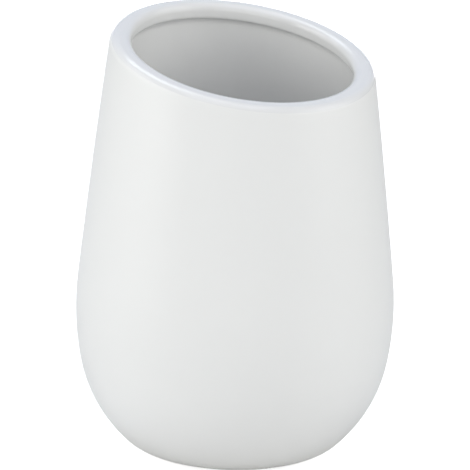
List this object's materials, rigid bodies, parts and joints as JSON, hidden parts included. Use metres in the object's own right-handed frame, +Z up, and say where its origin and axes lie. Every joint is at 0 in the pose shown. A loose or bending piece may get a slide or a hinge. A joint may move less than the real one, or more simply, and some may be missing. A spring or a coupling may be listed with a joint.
{
  "type": "bathroom tumbler",
  "caption": "White glazed ceramic tumbler with a round barrel body, a slanted open mouth with a thick rounded lip, and soft pads under its foot; holds toothbrushes or water.",
  "frame": {"origin": "under the middle of the base, on the surface that the tumbler stands on, on the axis of the barrel", "axes": "+Z up along the barrel's axis; the slanted mouth is highest towards +Y and lowest towards -Y; X is across"},
  "size_m": [0.08, 0.08, 0.11],
  "materials": {
    "bare_ceramic": "fired and unglazed, matt",
    "gloss_glaze": "gloss white glaze",
    "satin_glaze": "satin white glaze",
    "silicone": "milky, soft"
  },
  "bodies": {
    "root": {"ceramic_body": "bare_ceramic", "inner_glaze": "gloss_glaze", "outer_glaze": "satin_glaze", "base_pad_1": "silicone", "base_pad_2": "silicone", "base_pad_3": "silicone", "base_pad_4": "silicone"}
  },
  "joints": []
}
